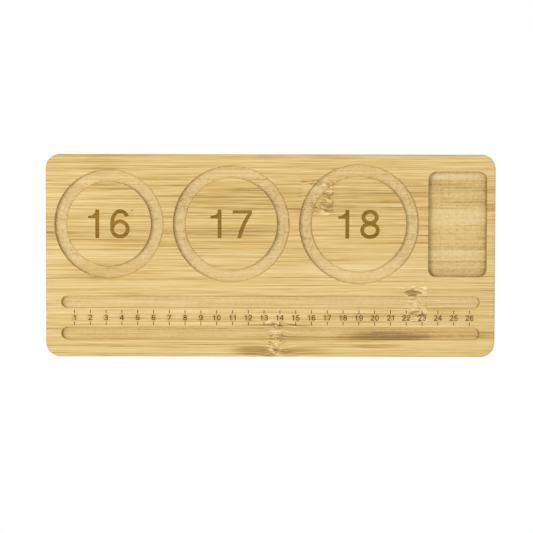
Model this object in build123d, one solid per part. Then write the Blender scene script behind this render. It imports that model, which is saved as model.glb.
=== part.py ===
from build123d import *
import os
from math import ceil, cos, radians, sin

# A beading board for stringing bracelets. It is a flat-pressed bamboo panel of three plies, and each
# ply is a row of long strips glued edge to edge. The face is milled with three ring channels for
# bracelet sizes 16, 17 and 18, two straight channels, and a tray for loose beads. A centimetre ruler
# and the size numbers are engraved in the face.
# Frame: the origin is at the centre of the underside, +X runs along the board with the strips,
# +Y points to the back edge, and +Z is up. Every size is in millimetres.

# The blank
BOARD_LENGTH = 284.0
BOARD_WIDTH = 128.0
PLY_THICKNESS = 5.0
CORNER_RADIUS = 9.0
EDGE_ROUND = 0.8  # rounding along the outline, on the face and on the underside

# The bamboo strips
STRIP_WIDTH = 22.4
STRIPS_PER_PLY = 6
JOINT_SHIFT = {"back": 0.0, "core": -3.2, "face": 3.2}  # plies from the bottom up: the middle joint's Y

# The channels, all cut with one cutter that has a flat nose and rounded corners
CHANNEL_WIDTH = 8.0
CHANNEL_DEPTH = 3.0
CHANNEL_FLOOR_ROUND = 2.0  # where the walls run into the floor

# The row of rings, with the tray at its right-hand end
RING_DIAMETER = {"16": 61.0, "17": 65.8, "18": 67.8}  # bracelet size: diameter of the channel's centre line
ROW_END_MARGIN = 5.4  # from each end of the board to the row
ROW_BACK_MARGIN = 6.1  # from the back edge to the largest ring
TRAY_LENGTH = 37.0
TRAY_WIDTH = 66.5
TRAY_FLOOR = 0.8  # of the face ply left under the tray, so that no strip is cut in two
TRAY_CORNER_RADIUS = 5.0

# The straight channels
CHANNEL_END_MARGIN = 9.6
CHANNEL_FRONT_MARGIN = 10.8
CHANNEL_SPACING = 19.9  # between the two centre lines

# The ruler between the straight channels
MARK_PITCH = 10.0
FIRST_MARK_INSET = 8.4  # from the channels' left-hand ends to the first mark
LAST_MARK_INSET = 5.0  # the least room kept after the last mark
TICK_LENGTH = 2.2
TICK_WIDTH = 0.45
TICK_GAP = 0.9  # between a tick and the number beside it
RULER_DIGIT_HEIGHT = 3.4

# The engraving
ENGRAVING_DEPTH = 0.3
LABEL_HEIGHT = 18.0  # the bracelet sizes inside the rings
STROKE = 0.133  # a digit's line thickness, in digit heights
BAR_STROKE = 0.113  # the same for level bars, which look heavier
DIGIT_ADVANCE = 0.85  # from one digit to the next, in digit heights
WEDGE_STEP = 60.0  # the widest turn, in degrees, between two corners of the wedge that trims an arc

CLEAR = 2.0  # how far a cutter stands out past the surface that it cuts

plies = list(JOINT_SHIFT)
board_thickness = PLY_THICKNESS * len(plies)
tray_depth = PLY_THICKNESS - TRAY_FLOOR
channel_half_width = CHANNEL_WIDTH / 2
largest_ring = max(RING_DIAMETER.values()) + CHANNEL_WIDTH
row_y = BOARD_WIDTH / 2 - ROW_BACK_MARGIN - largest_ring / 2
front_channel_y = -BOARD_WIDTH / 2 + CHANNEL_FRONT_MARGIN + channel_half_width
back_channel_y = front_channel_y + CHANNEL_SPACING
ruler_y = (front_channel_y + back_channel_y) / 2
channel_length = BOARD_LENGTH - 2 * CHANNEL_END_MARGIN
first_mark_x = -channel_length / 2 + FIRST_MARK_INSET
mark_count = 1 + int((channel_length - FIRST_MARK_INSET - LAST_MARK_INSET) / MARK_PITCH)
tray_x = BOARD_LENGTH / 2 - ROW_END_MARGIN - TRAY_LENGTH / 2


def ring_centres():
    """Each bracelet size with its ring's X; the rings and the tray are evenly spaced along the row."""
    outer = {size: diameter + CHANNEL_WIDTH for size, diameter in RING_DIAMETER.items()}
    row_length = BOARD_LENGTH - 2 * ROW_END_MARGIN
    gap = (row_length - sum(outer.values()) - TRAY_LENGTH) / len(outer)
    centres = {}
    x = -row_length / 2
    for size, width in outer.items():
        centres[size] = x + width / 2
        x += width + gap
    return centres


# The digits. Each is one unit high, stands on Y = 0 and is centred on X = 0.


def oval(y, x_radius, y_radius):
    """A closed oval stroke centred on X = 0; the radii are those of its outer side."""
    return Pos(0, y) * (Ellipse(x_radius, y_radius) - Ellipse(x_radius - STROKE, y_radius - STROKE))


def oval_arc(y, x_radius, y_radius, start, end):
    """The stretch of an oval stroke from the start angle counter-clockwise to the end angle, in degrees."""
    reach = 2 * max(x_radius, y_radius)
    steps = ceil((end - start) / WEDGE_STEP)
    turns = [radians(start + (end - start) * i / steps) for i in range(steps + 1)]
    wedge = [(0, y)] + [(reach * cos(turn), y + reach * sin(turn)) for turn in turns]
    return oval(y, x_radius, y_radius) & make_face(Polyline(wedge, close=True))


def bar(left, bottom, right, top):
    return Pos((left + right) / 2, (bottom + top) / 2) * Rectangle(right - left, top - bottom)


def limb(start, end):
    """A straight stroke between two points on its centre line."""
    line = Vector(*end) - Vector(*start)
    middle = (Vector(*end) + Vector(*start)) / 2
    turn = Vector(1, 0, 0).get_signed_angle(line, Vector(0, 0, 1))
    return Pos(middle.X, middle.Y) * Rot(0, 0, turn) * Rectangle(line.length, STROKE)


def zero():
    return oval(0.5, 0.335, 0.51)


def one():
    left, right = 0.12 - STROKE, 0.12
    tip, tip_bottom, tip_top = -0.265, 0.695, 0.79
    flag = make_face(
        [
            Line((tip, tip_bottom), (right, tip_bottom)),
            Line((right, tip_bottom), (right, 1)),
            Line((right, 1), (left + 0.03, 1)),
            ThreePointArc((left + 0.03, 1), (-0.075, 0.835), (tip, tip_top)),
            Line((tip, tip_top), (tip, tip_bottom)),
        ]
    )
    return bar(left, 0, right, 1) + flag


def two():
    neck = limb((0.2, 0.565), (-0.27, 0.1))
    return oval_arc(0.69, 0.33, 0.32, -42, 172) + neck + bar(-0.335, 0, 0.335, STROKE)


def three():
    waist = bar(-0.1, 0.51 - STROKE / 2, 0.02, 0.51 + STROKE / 2)
    return oval_arc(0.74, 0.3, 0.27, -90, 168) + oval_arc(0.28, 0.335, 0.29, -168, 90) + waist


def four():
    left, right, level, stem = -0.36, 0.35, 0.23, 0.08
    diagonal = limb((left, 0.28), (0.2, 1.06)) & bar(left, level, stem + STROKE, 1)
    return bar(stem, 0, stem + STROKE, 1) + diagonal + bar(left, level, right, level + BAR_STROKE)


def five():
    back = limb((-0.245, 0.47), (-0.175, 0.94))
    return oval_arc(0.32, 0.34, 0.33, -166, 142) + back + bar(-0.24, 1 - STROKE, 0.3, 1)


def six():
    return oval(0.32, 0.34, 0.33) + oval_arc(0.5, 0.34, 0.51, 90, 200) + oval_arc(0.69, 0.325, 0.32, 16, 92)


def seven():
    top, right, foot = 0.98, 0.34, -0.17
    level = top - BAR_STROKE
    stem = make_face(
        [
            ThreePointArc((foot, 0), (-0.03, 0.46), (right - 0.14, level)),
            Line((right - 0.14, level), (right, level)),
            ThreePointArc((right, level), (0.115, 0.46), (foot + STROKE, 0)),
            Line((foot + STROKE, 0), (foot, 0)),
        ]
    )
    return bar(-0.335, level, right, top) + stem


def eight():
    return oval(0.745, 0.3, 0.265) + oval(0.285, 0.34, 0.295)


def nine():
    return Pos(0, 1) * Rot(0, 0, 180) * six()


digits = [draw() for draw in (zero, one, two, three, four, five, six, seven, eight, nine)]


def number(text, height):
    """The sketch of a number, with its middle at the origin."""
    strokes = Sketch() + [Pos(i * DIGIT_ADVANCE) * digits[int(digit)] for i, digit in enumerate(text)]
    box = strokes.bounding_box()
    middle = (box.min.X + box.max.X) / 2
    return Pos(-middle * height, -height / 2) * scale(strokes, by=height)


def engraved(sketch, x, y):
    """The solids that cut a sketch into the face, at a place on it."""
    floor = board_thickness - ENGRAVING_DEPTH
    return extrude(Pos(x, y, floor) * sketch, amount=ENGRAVING_DEPTH + CLEAR, dir=(0, 0, 1)).solids()


# The cutters


def channel_cutter(outline, x, y):
    """The cutter's sweep over a channel's outline, at a place on the face."""
    sweep = extrude(outline, amount=CHANNEL_DEPTH + CLEAR)
    nose = sweep.faces().sort_by(Axis.Z)[0]
    return Pos(x, y, board_thickness - CHANNEL_DEPTH) * fillet(nose.edges(), CHANNEL_FLOOR_ROUND)


def ring_cutter(x, diameter):
    outer = Circle(diameter / 2 + channel_half_width)
    inner = Circle(diameter / 2 - channel_half_width)
    return channel_cutter(outer - inner, x, row_y)


def straight_cutter(y):
    return channel_cutter(SlotOverall(channel_length, CHANNEL_WIDTH), 0, y)


def tray_cutter():
    outline = RectangleRounded(TRAY_LENGTH, TRAY_WIDTH, TRAY_CORNER_RADIUS)
    floor = board_thickness - tray_depth
    return Pos(tray_x, row_y, floor) * extrude(outline, amount=tray_depth + CLEAR)


def ruler_cutters():
    """Two ticks and a number at every mark."""
    tick = Rectangle(TICK_WIDTH, TICK_LENGTH)
    tick_offset = RULER_DIGIT_HEIGHT / 2 + TICK_GAP + TICK_LENGTH / 2
    cutters = []
    for mark in range(1, mark_count + 1):
        x = first_mark_x + (mark - 1) * MARK_PITCH
        cutters += engraved(number(str(mark), RULER_DIGIT_HEIGHT), x, ruler_y)
        for side in (-1, 1):
            cutters += engraved(tick, x, ruler_y + side * tick_offset)
    return cutters


def all_cutters():
    cutters = [tray_cutter(), straight_cutter(front_channel_y), straight_cutter(back_channel_y)]
    for size, x in ring_centres().items():
        cutters.append(ring_cutter(x, RING_DIAMETER[size]))
        cutters += engraved(number(size, LABEL_HEIGHT), x, row_y)
    return cutters + ruler_cutters()


# The board and its strips


def board_blank():
    """The pressed and sanded panel, before it is milled."""
    panel = extrude(RectangleRounded(BOARD_LENGTH, BOARD_WIDTH, CORNER_RADIUS), amount=board_thickness)
    rims = panel.faces().sort_by(Axis.Z)
    return fillet(rims[0].edges() + rims[-1].edges(), EDGE_ROUND)


def joint_lines(ply):
    """The Y of every strip's sides in one ply, from the board's back edge to its front edge."""
    middle = (STRIPS_PER_PLY - 2) / 2
    joints = [JOINT_SHIFT[ply] + (middle - i) * STRIP_WIDTH for i in range(STRIPS_PER_PLY - 1)]
    return [BOARD_WIDTH / 2, *joints, -BOARD_WIDTH / 2]


def overlap(a, b):
    """Whether two bounding boxes share any space."""
    low = [max(p, q) for p, q in zip(a.min, b.min)]
    high = [min(p, q) for p, q in zip(a.max, b.max)]
    return all(p < q for p, q in zip(low, high))


def strip(blank, cutters, ply, i):
    """One strip of a ply, counted from the back edge, with what the cutters leave of it."""
    sides = joint_lines(ply)
    width = sides[i] - sides[i + 1]
    z = (plies.index(ply) + 0.5) * PLY_THICKNESS
    place = Pos(0, (sides[i] + sides[i + 1]) / 2, z)
    stock = blank & (place * Box(BOARD_LENGTH + 2 * CLEAR, width, PLY_THICKNESS))
    box = stock.bounding_box()
    meeting = [cutter for cutter in cutters if overlap(box, cutter.bounding_box())]
    return stock - meeting if meeting else stock


os.makedirs("parts", exist_ok=True)
blank = board_blank()
cutters = all_cutters()
for ply in plies:
    for i in range(STRIPS_PER_PLY):
        export_step(strip(blank, cutters, ply, i), f"parts/{ply}_strip_{i + 1}.step")
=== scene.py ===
from math import radians

import bpy
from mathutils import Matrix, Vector


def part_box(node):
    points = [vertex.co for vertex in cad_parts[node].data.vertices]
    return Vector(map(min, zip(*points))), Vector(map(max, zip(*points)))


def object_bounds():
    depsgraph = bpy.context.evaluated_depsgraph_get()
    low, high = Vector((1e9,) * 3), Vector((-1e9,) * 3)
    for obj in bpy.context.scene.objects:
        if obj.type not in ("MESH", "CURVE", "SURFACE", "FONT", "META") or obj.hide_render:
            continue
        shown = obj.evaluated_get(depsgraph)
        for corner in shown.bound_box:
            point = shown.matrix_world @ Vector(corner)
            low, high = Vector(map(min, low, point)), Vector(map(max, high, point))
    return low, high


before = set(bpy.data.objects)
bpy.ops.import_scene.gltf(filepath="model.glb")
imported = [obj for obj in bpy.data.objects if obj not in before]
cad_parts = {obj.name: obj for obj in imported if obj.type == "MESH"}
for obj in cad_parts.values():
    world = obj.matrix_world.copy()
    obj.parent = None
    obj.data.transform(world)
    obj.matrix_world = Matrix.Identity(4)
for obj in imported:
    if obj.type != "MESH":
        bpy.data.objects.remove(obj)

# A bamboo beading board that lies on a white table. Blender's unit is the metre, but every pattern is
# worked out in millimetres on the board's own frame: +X along the strips, +Y to the back edge, +Z up,
# and the origin at the centre of the underside.

MM = 0.001
cad_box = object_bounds()
board_length = (cad_box[1].x - cad_box[0].x) / MM
board_width = (cad_box[1].y - cad_box[0].y) / MM
board_top = cad_box[1].z / MM

# The milled features
RINGS = {"16": (-102.1, 30.5), "17": (-24.83, 32.9), "18": (55.83, 33.9)}  # X and centre-line radius
ROW_Y = 20.0
CHANNEL_HALF_WIDTH = 4.0
TRAY_CENTRE = (118.1, 20.0)
TRAY_SIZE = (37.0, 66.5)
TRAY_CORNER = 5.0
DEEPEST_CUT = 5.0  # nothing under this depth has been milled
UNCUT_MARGIN = 2.0  # nor has anything as near as this to the sides of the board
CHANNELS = (-49.2, -29.3)  # Y of the two straight channels
CHANNEL_HALF_LENGTH = 132.4
RULER_Y = -39.25
RULER_HALF_WIDTH = 5.5
FIRST_MARK_X = -124.0
MARK_PITCH = 10.0
RULER_MIDDLE_X = 1.0  # the marks run from 1 to 26, so their middle is a little right of the board's
RULER_HALF_LENGTH = 128.0
CORNER_RADIUS = 9.0
EASED_EDGE = 0.9  # the rounding of the board's edges and a little more

# The strips, from the back edge to the front: tone, warmth, contrast of the fibres
STRIPS = {
    "face": [
        (0.41, 0.0, 1.05),
        (0.39, 0.2, 1.3),
        (0.36, 0.2, 1.05),
        (0.42, 0.0, 1.0),
        (0.41, 0.0, 1.15),
        (0.40, 0.0, 0.95),
    ],
    "core": [
        (0.33, 0.1, 1.0),
        (0.40, 0.0, 1.0),
        (0.29, 0.2, 1.2),
        (0.38, 0.0, 1.0),
        (0.34, 0.1, 1.1),
        (0.31, 0.2, 1.0),
    ],
    "back": [
        (0.39, 0.0, 1.0),
        (0.44, -0.1, 0.9),
        (0.35, 0.1, 1.2),
        (0.43, 0.0, 1.0),
        (0.33, 0.2, 1.2),
        (0.42, 0.0, 1.0),
    ],
}

# Culm joints: strip, X of the right-hand edge, its softness, middle Y, length, bulge of the fibres
KNUCKLES = {
    "face_strip_2": [(40.0, 0.04, 37.0, 17.0, 0.0)],
    "face_strip_5": [(99.5, 0.04, -30.0, 12.5, 0.0)],
    "face_strip_6": [(11.0, 0.55, -53.0, 11.0, 0.25)],
    "back_strip_2": [(-62.0, 0.3, 34.0, 12.0, 0.2)],
    "back_strip_4": [(48.0, 0.04, -11.0, 12.5, 0.0)],
    "back_strip_5": [(-96.0, 0.5, -33.0, 11.0, 0.25)],
}

# Patches of another tone on a strip: X, Y, half length, half width, change of tone
PATCHES = {
    "face_strip_1": [(120.0, 56.0, 40.0, 8.0, 0.03), (40.0, 49.4, 60.0, 1.6, -0.06)],
    "face_strip_2": [
        (-25.0, 36.0, 45.0, 9.0, -0.10),
        (60.0, 34.0, 30.0, 8.0, -0.05),
        (22.0, 30.0, 16.0, 4.5, -0.16),
        (34.0, 31.0, 7.0, 3.0, -0.16),
        (36.0, 45.0, 8.0, 3.0, -0.10),
        (30.0, 33.5, 12.0, 0.6, -0.22),
        (-87.5, 28.5, 0.9, 0.45, -0.5),
    ],
    "face_strip_3": [(-25.0, 14.0, 36.0, 9.0, -0.07)],
    "face_strip_4": [(-102.0, -9.0, 34.0, 9.0, -0.10), (56.0, -9.0, 34.0, 9.0, 0.09)],
    "face_strip_5": [(90.0, -23.0, 6.0, 3.2, -0.55), (93.0, -36.5, 5.5, 1.8, -0.35)],
    "face_strip_6": [
        (86.0, -50.2, 72.0, 4.2, -0.24),
        (72.0, -51.5, 36.0, 3.2, -0.28),
        (68.0, -57.2, 20.0, 1.5, -0.30),
        (-75.0, -49.5, 80.0, 5.0, -0.12),
        (4.0, -43.8, 30.0, 0.9, -0.40),
        (-6.0, -60.5, 22.0, 3.6, -0.28),
        (20.0, -60.0, 18.0, 3.0, -0.16),
        (8.0, -49.0, 30.0, 5.0, -0.12),
    ],
}


def srgb(red, green, blue):
    """A colour given in 0 to 255 display values, as the linear colour that a shader takes."""
    values = []
    for value in (red, green, blue):
        share = value / 255
        values.append(share / 12.92 if share <= 0.04045 else ((share + 0.055) / 1.055) ** 2.4)
    return (*values, 1.0)


class Graph:
    """Builds a node tree; any input may be a plain value or the output of another node."""

    def __init__(self, tree):
        self.tree = tree

    def feed(self, socket, value):
        if isinstance(value, bpy.types.NodeSocket):
            self.tree.links.new(value, socket)
        else:
            socket.default_value = value

    def node(self, kind, inputs=(), **settings):
        made = self.tree.nodes.new(kind)
        for name, value in settings.items():
            setattr(made, name, value)
        for name, value in dict(inputs).items():
            self.feed(made.inputs[name], value)
        return made

    def math(self, operation, *values):
        return self.node("ShaderNodeMath", dict(enumerate(values)), operation=operation).outputs[0]

    def vector(self, operation, *values):
        made = self.node("ShaderNodeVectorMath", dict(enumerate(values)), operation=operation)
        return made.outputs["Value" if operation in ("LENGTH", "DISTANCE", "DOT_PRODUCT") else "Vector"]

    def split(self, vector):
        return self.node("ShaderNodeSeparateXYZ", {"Vector": vector}).outputs

    def join(self, x, y, z):
        return self.node("ShaderNodeCombineXYZ", {"X": x, "Y": y, "Z": z}).outputs[0]

    def total(self, *values):
        result = values[0]
        for value in values[1:]:
            result = self.math("ADD", result, value)
        return result

    def product(self, *values):
        result = values[0]
        for value in values[1:]:
            result = self.math("MULTIPLY", result, value)
        return result

    def weighted(self, base, *terms):
        """The base, with each term's value times its weight added to it."""
        result = base
        for value, weight in terms:
            result = self.math("MULTIPLY_ADD", value, weight, result)
        return result

    def apart(self, first, second):
        """How far two numbers are from each other."""
        return self.math("ABSOLUTE", self.math("SUBTRACT", first, second))

    def within(self, value, low, high):
        """How far a number is inside the nearer of two limits."""
        return self.math("MINIMUM", self.math("SUBTRACT", value, low), self.math("SUBTRACT", high, value))

    def past(self, value, limit):
        """How far a number of either sign is past a limit, and nought before it."""
        return self.math("MAXIMUM", self.math("SUBTRACT", self.math("ABSOLUTE", value), limit), 0.0)

    def ease(self, value, start, end, low=0.0, high=1.0):
        """Goes smoothly from low to high while the value goes from start to end."""
        inputs = {"Value": value, "From Min": start, "From Max": end, "To Min": low, "To Max": high}
        return self.node("ShaderNodeMapRange", inputs, interpolation_type="SMOOTHSTEP").outputs[0]

    def fade(self, value, start, end, high=1.0):
        """Goes smoothly from high to nought while the value goes from start to end."""
        return self.ease(value, start, end, high, 0.0)

    def mix(self, factor, first, second):
        made = self.node("ShaderNodeMix", data_type="RGBA", clamp_factor=True)
        for name, value in ((0, factor), (6, first), (7, second)):
            self.feed(made.inputs[name], value)
        return made.outputs[2]

    def blend(self, factor, first, second):
        return self.node("ShaderNodeMix", {0: factor, 2: first, 3: second}, data_type="FLOAT").outputs[0]

    def noise(self, point, size, detail=0.0, roughness=0.5):
        """Noise from about -1 to 1; size is the spread of its marks along X, Y and Z."""
        place = self.vector("DIVIDE", point, size)
        inputs = {"Vector": place, "Scale": 1.0, "Detail": detail, "Roughness": roughness}
        value = self.node("ShaderNodeTexNoise", inputs, noise_dimensions="3D").outputs["Fac"]
        return self.math("MULTIPLY_ADD", value, 4.0, -2.0)

    def millimetres(self):
        coordinates = self.node("ShaderNodeTexCoord").outputs["Object"]
        return self.vector("DIVIDE", coordinates, (MM, MM, MM))

    def use(self, group, **inputs):
        made = self.node("ShaderNodeGroup", node_tree=group)
        for name, value in inputs.items():
            self.feed(made.inputs[name.replace("_", " ")], value)
        return made.outputs


def new_group(name, inputs, outputs):
    """An empty node group: a Graph for it, its inputs, and its output node's sockets."""
    tree = bpy.data.node_groups.new(name, "ShaderNodeTree")
    for socket_name, kind in inputs.items():
        tree.interface.new_socket(socket_name, in_out="INPUT", socket_type="NodeSocket" + kind)
    for socket_name, kind in outputs.items():
        tree.interface.new_socket(socket_name, in_out="OUTPUT", socket_type="NodeSocket" + kind)
    graph = Graph(tree)
    return graph, graph.node("NodeGroupInput").outputs, graph.node("NodeGroupOutput").inputs


SEED_STEP = (91.7, 23.3, 17.9)  # the shift from one seed's stretch of bamboo to the next


def grain_group():
    """The fibres of one strip: its tone and warmth about nought, and the height of its surface."""
    graph, given, result = new_group(
        "bamboo grain",
        {"Point": "Vector", "Seed": "Float"},
        {"Tone": "Float", "Warmth": "Float", "Height": "Float", "Vessels": "Float"},
    )
    step = {0: SEED_STEP, "Scale": given["Seed"]}
    shift = graph.node("ShaderNodeVectorMath", step, operation="SCALE").outputs["Vector"]
    point = graph.vector("ADD", given["Point"], shift)
    broad = graph.noise(point, (260.0, 9.0, 9.0))
    band = graph.noise(point, (200.0, 3.2, 3.2))
    streak = graph.noise(point, (150.0, 1.5, 1.5))
    thread = graph.noise(point, (95.0, 0.8, 0.8), detail=1.0)
    fibre = graph.noise(point, (48.0, 0.36, 0.4), detail=1.0)
    fleck = graph.noise(point, (9.0, 0.9, 0.9))
    warmth = graph.noise(point, (150.0, 1.5, 1.5), detail=2.0)
    crossing = graph.math("ABSOLUTE", graph.noise(point, (180.0, 1.7, 1.7), detail=1.0))
    seam = graph.fade(crossing, 0.02, 0.13)
    cells = graph.vector("DIVIDE", point, (55.0, 1.25, 1.25))
    bundle = graph.node("ShaderNodeTexVoronoi", {"Vector": cells, "Scale": 1.0}).outputs["Distance"]
    vessel = graph.fade(bundle, 0.08, 0.30)
    tone = graph.weighted(
        0.05,
        (broad, 0.04),
        (band, 0.04),
        (streak, 0.05),
        (thread, 0.12),
        (fibre, 0.29),
        (fleck, 0.04),
        (seam, -0.09),
        (vessel, -0.08),
    )
    height = graph.weighted(graph.total(thread, fibre), (vessel, -1.2), (seam, -1.2))
    graph.feed(result["Tone"], tone)
    graph.feed(result["Warmth"], warmth)
    graph.feed(result["Height"], height)
    graph.feed(result["Vessels"], vessel)
    return graph.tree


def knuckle_group():
    """A culm joint: the fibres wander and swell over a short length, which ends sharply on its +X side."""
    graph, given, result = new_group(
        "culm joint",
        {
            "Point": "Vector",
            "Edge": "Float",
            "Softness": "Float",
            "Middle": "Float",
            "Length": "Float",
            "Bulge": "Float",
        },
        {"Warp": "Vector", "Tone": "Float"},
    )
    point = given["Point"]
    x, y, z = graph.split(point)
    ragged = graph.noise(point, (50.0, 1.6, 50.0), detail=1.0)
    ragged_edge = graph.weighted(given["Edge"], (ragged, 0.4))
    along = graph.math("DIVIDE", graph.math("SUBTRACT", ragged_edge, x), given["Length"])
    mask = graph.product(graph.ease(along, 0.0, given["Softness"]), graph.fade(along, 0.7, 1.5))
    wander = graph.noise(point, (4.5, 2.2, 3.0), detail=1.0)
    sway = graph.noise(point, (11.0, 6.0, 6.0))
    centred = graph.math("ADD", along, -0.5)
    swell = graph.math("EXPONENT", graph.product(centred, centred, -1.6))
    aside = graph.math("SUBTRACT", given["Middle"], y)
    bulge = graph.product(aside, swell, given["Bulge"])
    shift = graph.math("MULTIPLY_ADD", graph.weighted(wander, (sway, 1.2)), mask, bulge)
    wavy = graph.join(x, graph.math("ADD", y, shift), z)
    lines = graph.noise(wavy, (6.5, 0.8, 2.0), detail=1.5, roughness=0.6)
    crossing = graph.math("ABSOLUTE", graph.noise(wavy, (8.0, 1.1, 2.0)))
    crest = graph.fade(crossing, 0.04, 0.22)
    blotch = graph.noise(point, (5.0, 3.0, 4.0), detail=1.0)
    line_at_edge = graph.fade(graph.apart(along, 0.03), 0.0, 0.06)
    tone = graph.weighted(-0.04, (lines, 0.42), (crest, 0.34), (blotch, 0.22), (line_at_edge, -0.20))
    graph.feed(result["Warp"], graph.join(0.0, shift, 0.0))
    graph.feed(result["Tone"], graph.product(tone, mask))
    return graph.tree


def patch_group():
    """A long soft patch with ragged ends, such as a stain or a darker stretch of a strip."""
    graph, given, result = new_group(
        "soft patch",
        {"Point": "Vector", "Centre": "Vector", "Size": "Vector"},
        {"Mask": "Float"},
    )
    ragged = graph.noise(given["Point"], (60.0, 1.3, 3.0), detail=1.0)
    place = graph.vector("DIVIDE", graph.vector("SUBTRACT", given["Point"], given["Centre"]), given["Size"])
    reach = graph.weighted(graph.vector("LENGTH", place), (ragged, 0.22))
    graph.feed(result["Mask"], graph.fade(reach, 0.45, 1.15))
    return graph.tree


def rounded_box_distance(graph, x, y, centre, half_size, corner):
    """How far a point of the face is outside a rounded rectangle; it is less than nought inside."""
    reach = []
    for value, middle, half in zip((x, y), centre, half_size):
        reach.append(graph.math("SUBTRACT", graph.apart(value, middle), half - corner))
    outer = graph.join(graph.math("MAXIMUM", reach[0], 0.0), graph.math("MAXIMUM", reach[1], 0.0), 0.0)
    inner = graph.math("MINIMUM", graph.math("MAXIMUM", *reach), 0.0)
    return graph.total(graph.vector("LENGTH", outer), inner, -corner)


FAR_AWAY = 100.0  # more than any distance to a channel's edge that matters


def milled_group():
    """What the cutter and the burner left: cut wood, cut across its fibres, stipple, end grain and burn,
    with painted shade along the sides of the cuts.
    """
    graph, given, result = new_group(
        "milled, burnt and wall shade",
        {"Point": "Vector"},
        {
            "Cut": "Float",
            "Across": "Float",
            "Stipple": "Float",
            "End grain": "Float",
            "Tray": "Float",
            "Wall shade": "Float",
            "Burn": "Float",
            "Char": "Float",
            "Scorch": "Float",
        },
    )
    point = given["Point"]
    x, y, z = graph.split(point)
    flat = graph.join(x, y, 0.0)
    depth = graph.math("SUBTRACT", board_top, z)
    below = graph.product(graph.ease(depth, 0.03, 0.08), graph.math("LESS_THAN", depth, DEEPEST_CUT))
    inside = graph.product(
        graph.math("LESS_THAN", graph.math("ABSOLUTE", x), board_length / 2 - UNCUT_MARGIN),
        graph.math("LESS_THAN", graph.math("ABSOLUTE", y), board_width / 2 - UNCUT_MARGIN),
    )
    ruler_offset = graph.apart(y, RULER_Y)
    ruler = graph.math("LESS_THAN", ruler_offset, RULER_HALF_WIDTH)
    labels = 0.0
    across = 0.0
    to_edge = FAR_AWAY
    for ring_x, radius in RINGS.values():
        away = graph.vector("DISTANCE", flat, (ring_x, ROW_Y, 0.0))
        label = graph.math("LESS_THAN", away, radius - CHANNEL_HALF_WIDTH - 0.2)
        labels = graph.math("MAXIMUM", labels, label)
        turned = graph.ease(graph.math("DIVIDE", graph.apart(x, ring_x), away), 0.3, 0.9)
        from_line = graph.apart(away, radius)
        channel = graph.math("LESS_THAN", from_line, CHANNEL_HALF_WIDTH + 0.5)
        across = graph.math("MAXIMUM", across, graph.product(turned, channel))
        to_edge = graph.math("MINIMUM", to_edge, graph.apart(from_line, CHANNEL_HALF_WIDTH))
    half_size = (CHANNEL_HALF_LENGTH, CHANNEL_HALF_WIDTH)
    for channel_y in CHANNELS:
        gap = rounded_box_distance(graph, x, y, (0.0, channel_y), half_size, CHANNEL_HALF_WIDTH - 0.01)
        to_edge = graph.math("MINIMUM", to_edge, graph.math("ABSOLUTE", gap))
    tray_half = (TRAY_SIZE[0] / 2, TRAY_SIZE[1] / 2)
    tray_gap = rounded_box_distance(graph, x, y, TRAY_CENTRE, tray_half, TRAY_CORNER)
    engraved = graph.math("MAXIMUM", ruler, labels)
    milled_here = graph.product(below, inside)
    burn = graph.product(milled_here, engraved)
    cut = graph.product(milled_here, graph.math("SUBTRACT", 1.0, engraved))
    tray = graph.product(cut, graph.math("LESS_THAN", tray_gap, 0.4))
    # Painted shade: the cut wood is darkened within about a millimetre of the sides of the tray and the
    # channels, where their shade falls.
    tray_wall_shade = graph.product(tray, graph.fade(graph.math("ABSOLUTE", tray_gap), 0.3, 1.3))
    wall_shade = graph.math("MAXIMUM", graph.fade(to_edge, 0.1, 0.8, 0.35), tray_wall_shade)
    across = graph.product(graph.math("MAXIMUM", across, graph.product(tray, 0.35)), cut)
    specks = graph.noise(point, (2.2, 1.7, 2.2), detail=2.0, roughness=0.8)
    facing = graph.node("ShaderNodeTexCoord").outputs["Normal"]
    end_on = graph.ease(graph.math("ABSOLUTE", graph.split(facing)["X"]), 0.25, 0.95)
    graph.feed(result["Cut"], cut)
    graph.feed(result["Across"], across)
    graph.feed(result["Stipple"], graph.product(specks, graph.weighted(0.3, (across, 0.7))))
    graph.feed(result["End grain"], end_on)
    graph.feed(result["Tray"], tray)
    graph.feed(result["Wall shade"], graph.product(wall_shade, cut))
    graph.feed(result["Burn"], burn)
    graph.feed(result["Char"], ruler)
    from_mark = graph.math("PINGPONG", graph.math("SUBTRACT", x, FIRST_MARK_X), MARK_PITCH / 2)
    scorch = graph.product(
        graph.fade(from_mark, 1.0, 2.6),
        graph.fade(ruler_offset, 1.4, 2.6),
        graph.math("LESS_THAN", graph.apart(x, RULER_MIDDLE_X), RULER_HALF_LENGTH),
        graph.fade(depth, 0.5, 1.0),
    )
    graph.feed(result["Scorch"], scorch)
    return graph.tree


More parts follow.
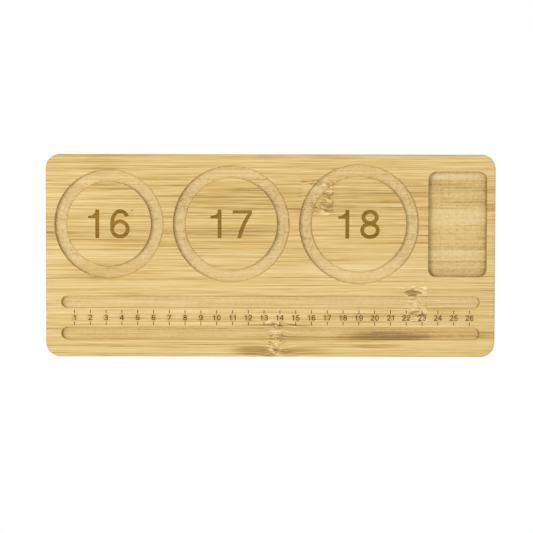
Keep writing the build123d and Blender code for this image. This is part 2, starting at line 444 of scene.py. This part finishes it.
def joint_group():
    """The glue lines between a strip and its neighbours, and painted shade on the board's rounded edges,
    which also get a slightly lower roughness.
    """
    graph, given, result = new_group(
        "glue lines and rim",
        {"Point": "Vector", "Low": "Vector", "High": "Vector"},
        {"Glue": "Float", "Rim shade": "Float"},
    )
    point = given["Point"]
    x, y, z = graph.split(point)
    low, high = graph.split(given["Low"]), graph.split(given["High"])
    level = graph.within(z, 0.0, board_top)
    to_side = graph.within(y, low[1], high[1])
    to_ply = graph.within(z, low[2], high[2])
    off_the_faces = graph.math("GREATER_THAN", level, 1.0)
    between_plies = graph.product(graph.fade(to_ply, 0.1, 0.3, 1.4), off_the_faces)
    lines = graph.math("MAXIMUM", graph.fade(to_side, 0.05, 0.16, 0.5), between_plies)
    over_x = graph.past(x, board_length / 2 - CORNER_RADIUS)
    over_y = graph.past(y, board_width / 2 - CORNER_RADIUS)
    inset = graph.math("SUBTRACT", CORNER_RADIUS, graph.vector("LENGTH", graph.join(over_x, over_y, 0.0)))
    # Painted shade: the rounded edges of the board are darkened a little, with a ragged inner limit.
    ragged_inset = graph.weighted(inset, (graph.noise(point, (8.0, 8.0, 8.0), detail=2.0), 0.25))
    rim = graph.product(graph.fade(ragged_inset, 0.3, 1.2), graph.fade(level, 0.4, 1.3))
    inner = graph.math("GREATER_THAN", inset, EASED_EDGE)
    face = graph.ease(level, 0.02, 0.05)
    outline = graph.math("LESS_THAN", graph.math("ABSOLUTE", y), board_width / 2 - EASED_EDGE)
    graph.feed(result["Glue"], graph.product(lines, graph.math("MAXIMUM", outline, face)))
    graph.feed(result["Rim shade"], graph.product(rim, graph.weighted(1.0, (inner, -0.5))))
    return graph.tree


grain = grain_group()
knuckle = knuckle_group()
patch = patch_group()
milled = milled_group()
joints = joint_group()

BAMBOO_TONES = [
    (0.00, srgb(132, 106, 62)),
    (0.15, srgb(168, 136, 76)),
    (0.32, srgb(196, 165, 98)),
    (0.50, srgb(210, 183, 124)),
    (0.63, srgb(217, 192, 137)),
    (0.76, srgb(224, 202, 147)),
    (0.88, srgb(233, 213, 158)),
    (1.00, srgb(243, 228, 184)),
]
AMBER = srgb(220, 182, 104)
CUT_DUST = srgb(203, 186, 143)
SCORCH = srgb(168, 116, 36)
BURN_DARK = srgb(116, 82, 12)
BURN_LIGHT = srgb(150, 114, 34)
CHAR_DARK = srgb(30, 6, 0)
CHAR_LIGHT = srgb(70, 32, 0)

TRAY_PASS = 5.2  # between the passes of the cutter that cleared the tray
FIRST_PASS_X = -1.3
# Bands across the tray's floor, which lies in another layer of the culm: middle Y, half width, tone
TRAY_BANDS = [
    (50.5, 2.2, 0.16),
    (46.0, 2.0, -0.16),
    (43.4, 0.5, -0.25),
    (36.5, 6.5, -0.12),
    (22.6, 3.4, 0.14),
    (12.0, 6.5, -0.06),
    (5.6, 0.4, -0.20),
    (4.2, 0.4, -0.20),
    (-4.0, 1.0, -0.25),
    (-9.0, 4.0, -0.10),
]


def colour_ramp(graph, value, stops):
    ramp = graph.node("ShaderNodeValToRGB", {"Fac": value})
    points = ramp.color_ramp.elements
    while len(points) < len(stops):
        points.new(0.5)
    for point, (place, colour) in zip(points, stops):
        point.position = place
        point.color = colour
    return ramp.outputs["Color"]


def tray_bands(graph, point):
    """The tone of the layer that the tray's floor lies in, with the faint lines of the cutter's passes."""
    x, y, _ = graph.split(point)
    tone = 0.0
    for middle, half_width, change in TRAY_BANDS:
        near = graph.apart(y, middle)
        tone = graph.total(tone, graph.fade(near, half_width * 0.7, half_width + 0.4, change))
    from_pass = graph.math("PINGPONG", graph.math("SUBTRACT", x, FIRST_PASS_X), TRAY_PASS / 2)
    return graph.total(tone, graph.fade(from_pass, 0.1, 0.7, -0.05))


RELIEF_DEPTH = 0.03  # of the bump that the fibres make


def strip_material(name, tone, warmth, contrast, seed):
    """Bamboo for one strip, with its own culm joints and patches."""
    material = bpy.data.materials.new(name)
    material.use_nodes = True
    material.node_tree.nodes.clear()
    graph = Graph(material.node_tree)
    low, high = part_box(name)
    point = graph.millimetres()
    wood_point = point
    extra = tone
    for edge, softness, middle, length, bulge in KNUCKLES.get(name, []):
        place = {"Edge": edge, "Softness": softness, "Middle": middle, "Length": length, "Bulge": bulge}
        made = graph.use(knuckle, Point=point, **place)
        wood_point = graph.vector("ADD", wood_point, made["Warp"])
        extra = graph.math("ADD", extra, made["Tone"])
    for x, y, half_length, half_width, change in PATCHES.get(name, []):
        size = (half_length, half_width, 30.0)
        mask = graph.use(patch, Point=point, Centre=(x, y, board_top), Size=size)["Mask"]
        extra = graph.weighted(extra, (mask, change))
    fibres = graph.use(grain, Point=wood_point, Seed=seed)
    work = graph.use(milled, Point=point)
    lines = graph.use(joints, Point=point, Low=tuple(low / MM), High=tuple(high / MM))
    calm = graph.weighted(1.0, (work["Cut"], -0.15), (work["Across"], -0.35))
    streaks = graph.product(fibres["Tone"], contrast, calm)
    end_tone = graph.weighted(-0.18, (work["Cut"], -0.20), (fibres["Vessels"], -0.28))
    ends = graph.product(work["End grain"], end_tone)
    stipple = graph.product(work["Stipple"], work["Cut"])
    tone_value = graph.weighted(
        graph.total(extra, streaks, ends),
        (stipple, 0.34),
        (work["Cut"], 0.10),
        # painted shade at the foot of the sides of the channels and the tray
        (work["Wall shade"], -0.34),
        (lines["Glue"], -0.22),
        # painted shade on the board's rounded edges
        (lines["Rim shade"], -0.08),
    )
    if name.startswith("face"):
        tone_value = graph.math("MULTIPLY_ADD", tray_bands(graph, point), work["Tray"], tone_value)
    wood = colour_ramp(graph, tone_value, BAMBOO_TONES)
    warm = graph.weighted(0.3 + warmth, (fibres["Warmth"], 0.35))
    wood = graph.mix(graph.product(graph.math("MAXIMUM", warm, 0.0), 0.3), wood, AMBER)
    dusty = graph.weighted(0.0, (work["Cut"], 0.08), (work["Across"], 0.18))
    bare = graph.mix(dusty, wood, CUT_DUST)
    bare = graph.mix(graph.product(work["Scorch"], 0.34), bare, SCORCH)
    uneven = graph.weighted(0.5, (fibres["Tone"], 2.5))
    label_burn = graph.mix(uneven, BURN_DARK, BURN_LIGHT)
    ruler_burn = graph.mix(uneven, CHAR_DARK, CHAR_LIGHT)
    burnt = graph.mix(work["Char"], label_burn, ruler_burn)
    colour = graph.mix(work["Burn"], bare, burnt)
    rough = graph.weighted(
        0.50,
        (fibres["Height"], -0.03),
        (work["Cut"], 0.12),
        (work["Burn"], 0.2),
        (lines["Rim shade"], -0.06),
    )
    relief = graph.weighted(fibres["Height"], (stipple, 2.5))
    bump = graph.node("ShaderNodeBump", {"Strength": 0.35, "Distance": RELIEF_DEPTH * MM, "Height": relief})
    surface = graph.node(
        "ShaderNodeBsdfPrincipled",
        {
            "Base Color": colour,
            "Roughness": rough,
            "Specular IOR Level": 0.2,
            "Normal": bump.outputs["Normal"],
        },
    )
    graph.node("ShaderNodeOutputMaterial", {"Surface": surface.outputs["BSDF"]})
    return material


FIRST_SEED = {"face": 1.0, "core": 11.0, "back": 21.0}
for name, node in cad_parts.items():
    ply, number = name.split("_strip_")
    tone, warmth, contrast = STRIPS[ply][int(number) - 1]
    seed = FIRST_SEED[ply] + int(number)
    node.data.materials.clear()
    node.data.materials.append(strip_material(name, tone, warmth, contrast, seed))


# The table, the light and the camera

HALF_TABLE = 3.0
TABLE_LEVEL = -0.0001  # a hair under the board, so that the two faces don't share a plane
WHITE = (1.0, 1.0, 1.0, 1.0)
SKY_STRENGTH = 0.85
BACKDROP_STRENGTH = 1.0  # what the camera sees past the table

table_mesh = bpy.data.meshes.new("table_top")
square = [(-1, -1), (1, -1), (1, 1), (-1, 1)]
corners = [(x * HALF_TABLE, y * HALF_TABLE, TABLE_LEVEL) for x, y in square]
table_mesh.from_pydata(corners, [], [(0, 1, 2, 3)])
table_top = bpy.data.objects.new("table_top", table_mesh)
bpy.context.scene.collection.objects.link(table_top)
white = bpy.data.materials.new("white table")
white.use_nodes = True
white.node_tree.nodes.clear()
cloth = Graph(white.node_tree)
lit = cloth.node("ShaderNodeBsdfPrincipled", {"Base Color": (0.9, 0.9, 0.9, 1.0), "Roughness": 0.8})
glow = cloth.node("ShaderNodeEmission", {"Color": WHITE, "Strength": 1.0})
seen = cloth.node("ShaderNodeLightPath").outputs["Is Camera Ray"]
both = cloth.node("ShaderNodeMixShader", {0: seen, 1: lit.outputs["BSDF"], 2: glow.outputs["Emission"]})
cloth.node("ShaderNodeOutputMaterial", {"Surface": both.outputs["Shader"]})
table_mesh.materials.append(white)

world = bpy.data.worlds.new("soft light")
bpy.context.scene.world = world
world.use_nodes = True
world.node_tree.nodes.clear()
sky = Graph(world.node_tree)
seen = sky.node("ShaderNodeLightPath").outputs["Is Camera Ray"]
strength = sky.blend(seen, SKY_STRENGTH, BACKDROP_STRENGTH)
background = sky.node("ShaderNodeBackground", {"Color": WHITE, "Strength": strength})
sky.node("ShaderNodeOutputWorld", {"Surface": background.outputs[0]})


def soft_lamp(name, place, aim, side, power):
    lamp = bpy.data.lights.new(name, "AREA")
    lamp.shape = "SQUARE"
    lamp.size = side
    lamp.energy = power
    holder = bpy.data.objects.new(name, lamp)
    holder.location = place
    holder.rotation_euler = (Vector(aim) - Vector(place)).to_track_quat("-Z", "Y").to_euler()
    bpy.context.scene.collection.objects.link(holder)


soft_lamp("window_lamp", place=(-0.75, 0.03, 1.35), aim=(0.0, 0.0, 0.0), side=0.5, power=10.0)

camera = bpy.data.objects.new("camera", bpy.data.cameras.new("camera"))
camera.data.lens = 100
camera.data.sensor_width = 36
camera.data.clip_start = 0.05
camera.location = (-0.0026, 0.0276, 0.9504)
camera.rotation_euler = (radians(-2.106), 0.0, radians(0.106))
bpy.context.scene.collection.objects.link(camera)
bpy.context.scene.camera = camera

bpy.context.scene.view_settings.view_transform = "Standard"
bpy.context.scene.view_settings.look = "None"
